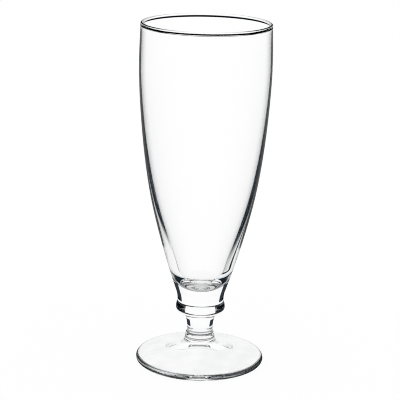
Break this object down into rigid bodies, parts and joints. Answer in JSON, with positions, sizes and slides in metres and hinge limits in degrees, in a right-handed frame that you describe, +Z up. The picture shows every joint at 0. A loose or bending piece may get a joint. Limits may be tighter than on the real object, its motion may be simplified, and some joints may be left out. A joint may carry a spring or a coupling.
{
  "type": "footed beer glass",
  "caption": "Tall footed beer glass: slender tapering bowl with a rounded rim, solid base boss, round knop, short waisted stem and a broad round foot, all in clear glass.",
  "frame": {"origin": "centre of the foot's resting plane, on the axis of the glass", "axes": "+Z up the axis from the foot to the rim; the glass is round, so X and Y are any two square directions"},
  "size_m": [0.0746, 0.0746, 0.198],
  "materials": {
    "foot_glass": "clear soda-lime glass, pressed and fire-polished",
    "stem_glass": "clear soda-lime glass, pressed and fire-polished",
    "knop_glass": "clear soda-lime glass, pressed and fire-polished",
    "boss_glass": "clear soda-lime glass, blown with the bowl's root and fire-polished",
    "bowl_glass": "clear soda-lime glass, blown, with a fire-polished rim"
  },
  "bodies": {
    "root": {"foot": "foot_glass", "stem": "stem_glass", "knop": "knop_glass", "base_boss": "boss_glass", "bowl": "bowl_glass"}
  },
  "joints": []
}
